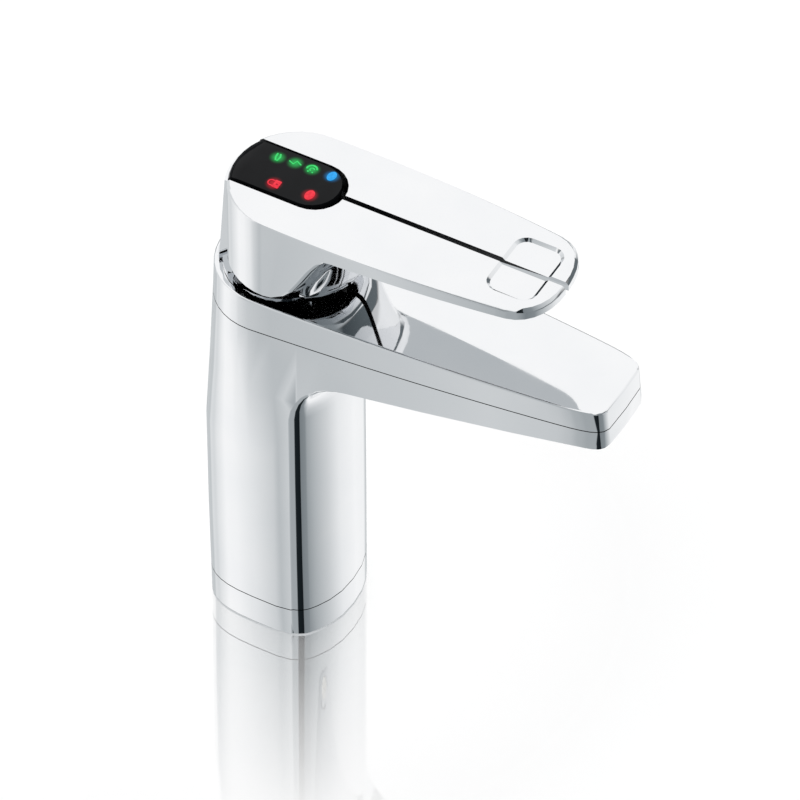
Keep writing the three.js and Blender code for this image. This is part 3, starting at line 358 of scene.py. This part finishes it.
# Each surface is paired with the one that gives its normals.
BODY = [
    (body_wall, soft_body_wall),
    (body_front, body_front),
    (cover_plane, soft_cover),
]
LEVERS = [
    (lever_wall, soft_lever_wall),
    (lever_crown, lever_crown),
    (lever_underside, lever_underside),
]
SURFACES = {
    "column_body": BODY,
    "base_ring": BODY,
    "top_cover": BODY,
    "left_lever": LEVERS,
    "right_lever": LEVERS,
    "display_lens": LEVERS,
}
for name in nodes:
    true_normals(name, SURFACES.get(name, []))


# ---------------------------------------------------------------- materials

# Most values of a noise texture lie between these.
NOISE_LOW, NOISE_HIGH = 0.3, 0.7
NOISE_DETAIL = 3.0
# Brushed metal's noise is drawn out along Z.
BRUSHED = (1, 1, 0.05)


def material(name, color, metallic=0.0, roughness=0.5, **sockets):
    """A principled material; sockets are the shader's other inputs by name.

    Where vary or roughen is called on it, its colour or roughness is about the middle of theirs.
    """
    made = bpy.data.materials.new(name)
    made.use_nodes = True
    shader = made.node_tree.nodes["Principled BSDF"]
    shader.inputs["Base Color"].default_value = (*color, 1.0)
    shader.inputs["Metallic"].default_value = metallic
    shader.inputs["Roughness"].default_value = roughness
    for socket, value in sockets.items():
        shader.inputs[socket].default_value = value
    return made


def noise(tree, scale, stretch=(1, 1, 1)):
    """A noise texture in the object's own metres."""
    place = tree.nodes.new("ShaderNodeTexCoord")
    mapping = tree.nodes.new("ShaderNodeMapping")
    mapping.inputs["Scale"].default_value = stretch
    texture = tree.nodes.new("ShaderNodeTexNoise")
    texture.inputs["Scale"].default_value = scale
    texture.inputs["Detail"].default_value = NOISE_DETAIL
    tree.links.new(place.outputs["Object"], mapping.inputs["Vector"])
    tree.links.new(mapping.outputs["Vector"], texture.inputs["Vector"])
    return texture.outputs["Fac"]


def mottle(tree, low, high, scale):
    """A colour that varies between low and high with a noise texture."""
    node = tree.nodes.new("ShaderNodeValToRGB")
    first, last = node.color_ramp.elements
    first.position = NOISE_LOW
    last.position = NOISE_HIGH
    first.color = (*low, 1)
    last.color = (*high, 1)
    tree.links.new(noise(tree, scale), node.inputs["Fac"])
    return node.outputs["Color"]


def vary(made, low, high, scale):
    """Varies the base colour between low and high."""
    tree = made.node_tree
    color = mottle(tree, low, high, scale)
    tree.links.new(color, tree.nodes["Principled BSDF"].inputs["Base Color"])


def roughen(made, low, high, scale, stretch=(1, 1, 1)):
    """Varies the roughness between low and high."""
    tree = made.node_tree
    spread = tree.nodes.new("ShaderNodeMapRange")
    spread.inputs["From Min"].default_value = NOISE_LOW
    spread.inputs["From Max"].default_value = NOISE_HIGH
    spread.inputs["To Min"].default_value = low
    spread.inputs["To Max"].default_value = high
    tree.links.new(noise(tree, scale, stretch), spread.inputs["Value"])
    tree.links.new(spread.outputs["Result"], tree.nodes["Principled BSDF"].inputs["Roughness"])


def grain(made, strength, depth, scale, stretch=(1, 1, 1)):
    """Adds a fine surface grain, its depth in metres."""
    tree = made.node_tree
    bump = tree.nodes.new("ShaderNodeBump")
    bump.inputs["Strength"].default_value = strength
    bump.inputs["Distance"].default_value = depth
    tree.links.new(noise(tree, scale, stretch), bump.inputs["Height"])
    tree.links.new(bump.outputs["Normal"], tree.nodes["Principled BSDF"].inputs["Normal"])


def lamp(name, color, glow):
    """A moulded light guide that glows faintly."""
    made = material(name, color, roughness=0.35)
    shader = made.node_tree.nodes["Principled BSDF"]
    shader.inputs["Emission Color"].default_value = (*glow, 1)
    shader.inputs["Emission Strength"].default_value = 1.4
    vary(made, tuple(0.8 * channel for channel in color), color, scale=900)
    return made


chrome = material("chrome", (0.86, 0.87, 0.88), metallic=1.0, roughness=0.04)
vary(chrome, (0.84, 0.85, 0.865), (0.87, 0.875, 0.885), scale=40)
roughen(chrome, 0.02, 0.06, scale=60)

steel = material("steel", (0.62, 0.63, 0.65), metallic=1.0, roughness=0.3)
roughen(steel, 0.24, 0.38, scale=900, stretch=BRUSHED)
grain(steel, 0.2, depth=0.00002, scale=3000, stretch=BRUSHED)

brass = material("brass", (0.78, 0.6, 0.32), metallic=1.0, roughness=0.3)
vary(brass, (0.72, 0.54, 0.27), (0.8, 0.62, 0.34), scale=150)
roughen(brass, 0.22, 0.4, scale=400)

rubber = material("rubber", (0.03, 0.03, 0.03), roughness=0.8)
vary(rubber, (0.022, 0.022, 0.022), (0.04, 0.04, 0.04), scale=300)
grain(rubber, 0.3, depth=0.00005, scale=2500)

silicone = material("silicone", (0.8, 0.79, 0.75), roughness=0.5)
vary(silicone, (0.76, 0.75, 0.7), (0.83, 0.82, 0.79), scale=120)
grain(silicone, 0.15, depth=0.00004, scale=1500)

black_plastic = material("black_plastic", (0.02, 0.02, 0.02), roughness=0.45)
vary(black_plastic, (0.014, 0.014, 0.015), (0.028, 0.028, 0.03), scale=300)
grain(black_plastic, 0.25, depth=0.00003, scale=4000)

acetal = material("acetal", (0.8, 0.79, 0.75), roughness=0.4)
vary(acetal, (0.77, 0.76, 0.71), (0.83, 0.82, 0.79), scale=200)
roughen(acetal, 0.34, 0.5, scale=600)

board = material("board", (0.03, 0.2, 0.08), roughness=0.35)
vary(board, (0.02, 0.15, 0.06), (0.04, 0.24, 0.1), scale=700)
roughen(board, 0.3, 0.45, scale=900)

display_gloss = material(
    "display_gloss", (0.005, 0.005, 0.006), roughness=0.08, **{"Specular IOR Level": 0.12}
)
vary(display_gloss, (0.0035, 0.0038, 0.0045), (0.006, 0.0065, 0.0075), scale=120)
roughen(display_gloss, 0.06, 0.12, scale=200)

# Painted shade: a flat black for faces in the slit, the display's slot and the seam, where shade
# falls.
painted_shade_black = material("painted_shade_black", (0.006, 0.006, 0.007), roughness=0.4)
vary(painted_shade_black, (0.004, 0.004, 0.005), (0.009, 0.009, 0.01), scale=300)
roughen(painted_shade_black, 0.3, 0.5, scale=400)

# The finishes by the record's names for them; the black of the painted shade is no piece's own.
finishes = {
    "chrome": chrome,
    "steel": steel,
    "brass": brass,
    "rubber": rubber,
    "silicone": silicone,
    "black_plastic": black_plastic,
    "acetal": acetal,
    "board": board,
    "display_gloss": display_gloss,
    "lamp_green": lamp("lamp_green", (0.85, 0.9, 0.85), (0.1, 0.9, 0.3)),
    "lamp_blue": lamp("lamp_blue", (0.85, 0.88, 0.95), (0.1, 0.4, 1.0)),
    "lamp_red": lamp("lamp_red", (0.95, 0.86, 0.85), (1.0, 0.12, 0.08)),
}
for subpart in record["subparts"]:
    mesh = nodes[subpart["node"]].data
    mesh.materials.clear()
    mesh.materials.append(finishes[subpart["material_slot"]])


# ---------------------------------------------------------------- painted shade in the slit, the slot and the seam

# The slit between the levers, and the display's slot, which ends in an arc, with a small margin.
SLIT = {"half_width": 1.1, "from_y": -82.5}
SLOT = {"half_width": 11.35, "arc_y": -13.6, "radius": 11.15}
# A wall's normal rises or falls by less than this, and a rim's by more.
WALL_RISE = 0.5
RIM_RISE = 0.8
# The seam is looked for a little above its highest and below its lowest point.
SEAM_MARGIN = 1.0


def paint_shade_black(name, inside):
    """Paints shade: makes a node's faces black where inside says so of their centre and normal."""
    mesh = nodes[name].data
    mesh.materials.append(painted_shade_black)
    for polygon in mesh.polygons:
        if inside(polygon.center / MM, polygon.normal):
            polygon.material_index = 1


def between_levers(centre, normal):
    """Whether a face is a wall of the slit or of the display's slot."""
    in_slit = abs(centre.x) < SLIT["half_width"] and centre.y > SLIT["from_y"]
    in_arc = math.hypot(centre.x, centre.y - SLOT["arc_y"]) < SLOT["radius"]
    in_slot = abs(centre.x) < SLOT["half_width"] and (centre.y > SLOT["arc_y"] or in_arc)
    return (in_slit or in_slot) and abs(normal.z) < WALL_RISE


def at_seam(centre):
    """Whether a face is as high as the seam below the cover."""
    drop = COVER_TOP - centre.z
    return SEAM_DROP["tip"] - SEAM_MARGIN < drop < SEAM_DROP["rear"] + SEAM_MARGIN


# Painted shade: the walls of the slit and of the display's slot, and the rims in the seam, are made
# black.
paint_shade_black("left_lever", between_levers)
paint_shade_black("right_lever", between_levers)
paint_shade_black("column_body", lambda centre, normal: at_seam(centre) and normal.z > RIM_RISE)
paint_shade_black("top_cover", lambda centre, normal: at_seam(centre) and normal.z < -RIM_RISE)


# ---------------------------------------------------------------- display symbols

# Each symbol's light and its place on the display, in millimetres.
GLOW = {"green": (0.035, 0.72, 0.15), "blue": (0.012, 0.38, 0.95), "red": (0.9, 0.02, 0.045)}
SYMBOLS = {
    "symbol_bars": ("green", (5.3, 3.6)),
    "symbol_bolt": ("green", (5.9, -2.7)),
    "symbol_wave": ("green", (5.9, -9.0)),
    "symbol_cold": ("blue", (6.2, -16.4)),
    "symbol_lock": ("red", (-6.0, -1.3)),
    "symbol_hot": ("red", (-5.1, -14.4)),
}
SYMBOL_THICKNESS = 0.1
# The middle of a symbol's thickness is this far above the display.
SYMBOL_LIFT = 0.01
# The soft light round each symbol: how far it reaches, and how strong it is.
HALO = {"reach": 3.6, "strength": 0.55}


def arc(radius, start, end, centre=(0, 0), squash=1.0, steps=16):
    """Points on an arc, in degrees; squash is v's size as a share of u's."""
    angles = [math.radians(start + (end - start) * i / steps) for i in range(steps + 1)]
    return [
        (centre[0] + radius * math.cos(angle), centre[1] + squash * radius * math.sin(angle))
        for angle in angles
    ]


def oval(half_u, half_v, centre=(0, 0)):
    """An ellipse of 24 points, 15 degrees apart."""
    return arc(half_u, 0, 345, centre, half_v / half_u, 23)


def stroke(points, width):
    """The outline of a line of the given width along points, with round ends."""
    half = width / 2
    sides = [[], []]
    for i, (u, v) in enumerate(points):
        before = points[max(i - 1, 0)]
        after = points[min(i + 1, len(points) - 1)]
        turn = math.atan2(after[1] - before[1], after[0] - before[0])
        for side, sign in zip(sides, (1, -1)):
            side.append((u - sign * half * math.sin(turn), v + sign * half * math.cos(turn)))
    last = math.degrees(math.atan2(points[-1][1] - points[-2][1], points[-1][0] - points[-2][0]))
    first = math.degrees(math.atan2(points[1][1] - points[0][1], points[1][0] - points[0][0]))
    end_cap = arc(half, last + 90, last - 90, points[-1], steps=6)[1:-1]
    start_cap = arc(half, first - 90, first - 270, points[0], steps=6)[1:-1]
    return sides[0] + end_cap + sides[1][::-1] + start_cap


def rounded_box(half_u, half_v, radius, centre):
    """A rectangle with round corners."""
    corners = []
    for quarter, (su, sv) in enumerate([(1, 1), (-1, 1), (-1, -1), (1, -1)]):
        middle = (centre[0] + su * (half_u - radius), centre[1] + sv * (half_v - radius))
        corners += arc(radius, 90 * quarter, 90 * quarter + 90, middle, steps=4)
    return corners


# Each symbol's outlines round its own place; u is to the right and v away from the user.
OUTLINES = {
    "symbol_bars": [
        stroke([(-1.5, 0.1), (-0.2, 0.75), (1.5, 0.9)], 0.6),
        stroke([(-1.5, -0.5), (0.3, -0.7), (1.5, -0.2)], 0.6),
    ],
    "symbol_bolt": [stroke([(-0.2, 2.0), (-0.9, 0.3), (0.9, -0.2), (-0.1, -2.1)], 0.5)],
    "symbol_wave": [
        stroke(arc(1.75, -70, 100), 0.62),
        stroke(arc(0.75, -60, 150, (-0.2, -0.2)), 0.4),
        oval(0.3, 0.3, (-1.4, -0.9)),
        oval(0.3, 0.3, (-1.5, 0.7)),
    ],
    "symbol_cold": [oval(2.3, 1.5)],
    "symbol_lock": [
        rounded_box(1.7, 1.15, 0.3, (0, -1.1)),
        oval(0.3, 0.45, (0, -1.1)),
        stroke([(-1.2, 0.14), *arc(1.2, 180, 0, (0, 0.9)), (1.2, 0.14)], 0.42),
    ],
    "symbol_hot": [oval(2.3, 1.6)],
}


def lit(name, glow):
    """A lit symbol, a little uneven as a light guide is."""
    made = material(name, (0.01, 0.01, 0.01), roughness=0.3, **{"Specular IOR Level": 0.1})
    tree = made.node_tree
    shader = tree.nodes["Principled BSDF"]
    dim = tuple(0.8 * channel for channel in glow)
    pale = tuple(min(1.0, 1.1 * channel + 0.02) for channel in glow)
    tree.links.new(mottle(tree, dim, pale, scale=900), shader.inputs["Emission Color"])
    shader.inputs["Emission Strength"].default_value = 1.0
    return made


def symbol(name, finish, place):
    """A thin lit window on the display's crown."""
    curve = bpy.data.curves.new(name, "CURVE")
    curve.dimensions = "2D"
    curve.fill_mode = "BOTH"
    curve.extrude = SYMBOL_THICKNESS / 2 * MM
    for outline in OUTLINES[name]:
        spline = curve.splines.new("POLY")
        spline.points.add(len(outline) - 1)
        spline.use_cyclic_u = True
        for point, (u, v) in zip(spline.points, outline):
            point.co = (u * MM, v * MM, 0, 1)
    piece = bpy.data.objects.new(name, curve)
    bpy.context.collection.objects.link(piece)
    x, y = place
    slope = -2 * LEVER["crown"] * x / LEVER["radius"] ** 2
    piece.location = (x * MM, y * MM, (crown_height(x) + SYMBOL_LIFT) * MM)
    piece.rotation_euler = (0, -math.atan(slope), 0)
    curve.materials.append(finish)
    return piece


def halo(made):
    """Adds the symbols' soft light to the display's own material."""
    tree = made.node_tree
    new, link = tree.nodes.new, tree.links.new
    place = new("ShaderNodeTexCoord")
    total = None
    for color, (x, y) in SYMBOLS.values():
        away = new("ShaderNodeVectorMath")
        away.operation = "DISTANCE"
        away.inputs[1].default_value = (x * MM, y * MM, crown_height(x) * MM)
        link(place.outputs["Object"], away.inputs[0])
        near = new("ShaderNodeMapRange")
        near.interpolation_type = "SMOOTHERSTEP"
        near.inputs["From Max"].default_value = HALO["reach"] * MM
        near.inputs["To Min"].default_value = 1
        near.inputs["To Max"].default_value = 0
        link(away.outputs["Value"], near.inputs["Value"])
        tint = new("ShaderNodeVectorMath")
        tint.operation = "SCALE"
        tint.inputs[0].default_value = GLOW[color]
        link(near.outputs["Result"], tint.inputs["Scale"])
        if total is None:
            total = tint.outputs["Vector"]
            continue
        add = new("ShaderNodeVectorMath")
        link(total, add.inputs[0])
        link(tint.outputs["Vector"], add.inputs[1])
        total = add.outputs["Vector"]
    shader = tree.nodes["Principled BSDF"]
    link(total, shader.inputs["Emission Color"])
    shader.inputs["Emission Strength"].default_value = HALO["strength"]


halo(display_gloss)
lights = {color: lit(f"lit_{color}", glow) for color, glow in GLOW.items()}
for name, (color, place) in SYMBOLS.items():
    window = symbol(name, lights[color], place)
    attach(window, "tap")


# ---------------------------------------------------------------- floor, light and camera

# The camera is far away with a long lens, as the photograph's nearly parallel edges show.
CAMERA_AZIMUTH = math.radians(-60.784)
CAMERA_ELEVATION = math.radians(45.906)
CAMERA_DISTANCE = 2.6907
CAMERA_TARGET = Vector((0, -0.04565, 0.110365))
CAMERA_SENSOR = 36
CAMERA_LENS = 360

# What the chrome mirrors is a light tent of soft white and grey walls. This is their brightness by
# compass angle in degrees, where 0 is ahead of the tap and 90 is +X.
TENT = [
    (-180, 0.72), (-150, 0.98), (-138, 0.96), (-128, 0.85), (-117, 0.54),
    (-108, 0.66), (-100, 0.46), (-90, 0.4), (-68, 0.4), (-41, 0.23),
    (-18, 0.27), (0, 0.47), (40, 0.87), (66, 0.96), (180, 0.72),
]
# Three dark things stand before the walls: the gap that the camera looks in through, which is
# closed at middle height, two rails that draw thin dark lines along the polished edges, and a low
# board in front. The first list of each darkens the walls by compass angle. The second, by height
# in degrees, leaves it out where it is 1.
GAP = [(-180, 1.0), (-68, 1.0), (-66, 0.04), (-45, 0.04), (-43, 1.0)]
GAP_LEFT_OUT = [(-90, 0.0), (-34, 0.0), (-28, 1.0), (28, 1.0), (34, 0.0)]
RAILS = [(-180, 1.0), (-156, 1.0), (-150, 0.22), (-96, 0.22), (-90, 1.0)]
RAILS_LEFT_OUT = [
    (-90, 1.0), (29, 1.0), (31, 0.0), (39, 0.0), (42, 1.0),
    (50, 1.0), (52, 0.0), (59, 0.0), (61, 1.0),
]
BOARD = [(-180, 1.0), (-20, 1.0), (-5, 0.16), (75, 0.16), (90, 1.0)]
BOARD_LEFT_OUT = [(-90, 1.0), (-4, 1.0), (0, 0.0), (21, 0.0), (27, 1.0)]
# The far side goes by height instead: a grey floor, two dark boards and a white backdrop.
# FAR_SHARE says where it stands, by compass angle.
FAR_SIDE = [
    (-90, 0.58), (5, 0.58), (8, 0.03), (14, 0.03), (16, 0.58),
    (23, 0.58), (25, 0.03), (28, 0.03), (29, 1.0),
]
FAR_SHARE = [(-180, 0.0), (94, 0.0), (102, 1.0), (158, 1.0), (166, 0.0)]
# White light comes from above, by height.
OVERHEAD = [(-90, 0.0), (66, 0.0), (80, 1.0)]
TENT_STRENGTH = 1.07
# Greys are raised to these powers in red, green and blue, which makes them slightly cool.
COOL = (1.08, 1.0, 0.96)

# The floor is white board under even light, in metres, and a little below the foot so that they
# don't touch. How much it mirrors goes by the distance from the tap's middle, up to GLOSS_REACH.
FLOOR_LIGHT = 1.12
FLOOR_WHITE = 0.95
FLOOR_HALF = 3.0
FLOOR_DROP = 0.0003
FLOOR_GLOSS = [(0.025, 0.69), (0.045, 0.63), (0.087, 0.31), (0.12, 0.0)]
GLOSS_REACH = 0.2

# A Mix node's sockets for two colours and their result share their names with its other sockets.
MIX_FIRST, MIX_SECOND, MIX_RESULT = 6, 7, 2


def fill_ramp(node, stops):
    """Sets a colour ramp's stops, given as position and brightness."""
    elements = node.color_ramp.elements
    while len(elements) < len(stops):
        elements.new(1.0)
    for element, (position, value) in zip(elements, stops):
        element.position = position
        element.color = (*(value**power for power in COOL), 1)


def light_tent(tree):
    """Shows the tent to the metal, and even white to matt surfaces and to the floor's mirror."""
    new, link = tree.nodes.new, tree.links.new
    place = new("ShaderNodeTexCoord")
    split = new("ShaderNodeSeparateXYZ")
    link(place.outputs["Generated"], split.inputs["Vector"])
    ahead = new("ShaderNodeMath")
    ahead.operation = "MULTIPLY"
    ahead.inputs[1].default_value = -1
    link(split.outputs["Y"], ahead.inputs[0])
    compass = new("ShaderNodeMath")
    compass.operation = "ARCTAN2"
    link(split.outputs["X"], compass.inputs[0])
    link(ahead.outputs["Value"], compass.inputs[1])
    rise = new("ShaderNodeMath")
    rise.operation = "ARCSINE"
    link(split.outputs["Z"], rise.inputs[0])

    def ramp_of(source, half_turn, stops):
        """A ramp over the angle of a node's value, from -half_turn to half_turn degrees."""
        span = new("ShaderNodeMapRange")
        span.inputs["From Min"].default_value = -math.radians(half_turn)
        span.inputs["From Max"].default_value = math.radians(half_turn)
        link(source.outputs["Value"], span.inputs["Value"])
        made = new("ShaderNodeValToRGB")
        fill_ramp(made, [((angle + half_turn) / (2 * half_turn), value) for angle, value in stops])
        link(span.outputs["Result"], made.inputs["Fac"])
        return made.outputs["Color"]

    def mix(kind, first, second, factor=None):
        """Two colours mixed, in full or by a factor."""
        node = new("ShaderNodeMix")
        node.data_type = "RGBA"
        node.blend_type = kind
        node.inputs["Factor"].default_value = 1
        if factor is not None:
            link(factor, node.inputs["Factor"])
        link(first, node.inputs[MIX_FIRST])
        link(second, node.inputs[MIX_SECOND])
        return node.outputs[MIX_RESULT]

    near = ramp_of(compass, 180, TENT)
    for around, left_out in ((GAP, GAP_LEFT_OUT), (RAILS, RAILS_LEFT_OUT), (BOARD, BOARD_LEFT_OUT)):
        dark = mix("LIGHTEN", ramp_of(compass, 180, around), ramp_of(rise, 90, left_out))
        near = mix("MULTIPLY", near, dark)
    near = mix("SCREEN", near, ramp_of(rise, 90, OVERHEAD))
    tent = mix("MIX", near, ramp_of(rise, 90, FAR_SIDE), ramp_of(compass, 180, FAR_SHARE))
    mirrored = new("ShaderNodeBackground")
    mirrored.inputs["Strength"].default_value = TENT_STRENGTH
    link(tent, mirrored.inputs["Color"])
    even = tree.nodes["Background"]
    even.inputs["Color"].default_value = (1, 1, 1, 1)
    even.inputs["Strength"].default_value = FLOOR_LIGHT
    path = new("ShaderNodeLightPath")
    polished = new("ShaderNodeMath")
    polished.operation = "SUBTRACT"
    link(path.outputs["Is Glossy Ray"], polished.inputs[0])
    link(path.outputs["Is Singular Ray"], polished.inputs[1])
    either = new("ShaderNodeMixShader")
    link(polished.outputs["Value"], either.inputs["Fac"])
    link(even.outputs["Background"], either.inputs[1])
    link(mirrored.outputs["Background"], either.inputs[2])
    link(either.outputs["Shader"], tree.nodes["World Output"].inputs["Surface"])


def glossy_floor(tree):
    """White board whose mirror share fades with the distance from the tap.

    The mirror is perfectly sharp, which is how the world knows its rays from the metal's.
    """
    new, link = tree.nodes.new, tree.links.new
    place = new("ShaderNodeTexCoord")
    reach = new("ShaderNodeVectorMath")
    reach.operation = "LENGTH"
    link(place.outputs["Object"], reach.inputs[0])
    span = new("ShaderNodeMapRange")
    span.inputs["From Max"].default_value = GLOSS_REACH
    link(reach.outputs["Value"], span.inputs["Value"])
    share = new("ShaderNodeValToRGB")
    fill_ramp(share, [(radius / GLOSS_REACH, value) for radius, value in FLOOR_GLOSS])
    link(span.outputs["Result"], share.inputs["Fac"])
    matt = new("ShaderNodeBsdfDiffuse")
    matt.inputs["Color"].default_value = (FLOOR_WHITE, FLOOR_WHITE, FLOOR_WHITE, 1)
    gloss = new("ShaderNodeBsdfGlossy")
    gloss.inputs["Color"].default_value = (1, 1, 1, 1)
    gloss.inputs["Roughness"].default_value = 0.0
    both = new("ShaderNodeMixShader")
    link(share.outputs["Color"], both.inputs["Fac"])
    link(matt.outputs["BSDF"], both.inputs[1])
    link(gloss.outputs["BSDF"], both.inputs[2])
    link(both.outputs["Shader"], tree.nodes["Material Output"].inputs["Surface"])


floor_mesh = bpy.data.meshes.new("studio_floor")
floor_signs = [(-1, -1), (1, -1), (1, 1), (-1, 1)]
floor_corners = [(FLOOR_HALF * side, FLOOR_HALF * end, 0) for side, end in floor_signs]
floor_mesh.from_pydata(floor_corners, [], [(0, 1, 2, 3)])
floor = bpy.data.objects.new("studio_floor", floor_mesh)
bpy.context.collection.objects.link(floor)
floor.location.z = -FLOOR_DROP
floor.visible_glossy = False
floor_finish = material("floor", (FLOOR_WHITE, FLOOR_WHITE, FLOOR_WHITE))
glossy_floor(floor_finish.node_tree)
floor_mesh.materials.append(floor_finish)

world = bpy.data.worlds.new("studio")
world.use_nodes = True
light_tent(world.node_tree)
bpy.context.scene.world = world

camera_data = bpy.data.cameras.new("camera")
camera_data.sensor_width = CAMERA_SENSOR
camera_data.lens = CAMERA_LENS
camera = bpy.data.objects.new("camera", camera_data)
bpy.context.collection.objects.link(camera)
back = Vector((
    math.sin(CAMERA_AZIMUTH) * math.cos(CAMERA_ELEVATION),
    -math.cos(CAMERA_AZIMUTH) * math.cos(CAMERA_ELEVATION),
    math.sin(CAMERA_ELEVATION),
))
camera.location = CAMERA_TARGET + CAMERA_DISTANCE * back
camera.rotation_euler = back.to_track_quat("Z", "Y").to_euler()
bpy.context.scene.camera = camera
bpy.context.scene.view_settings.view_transform = "Standard"
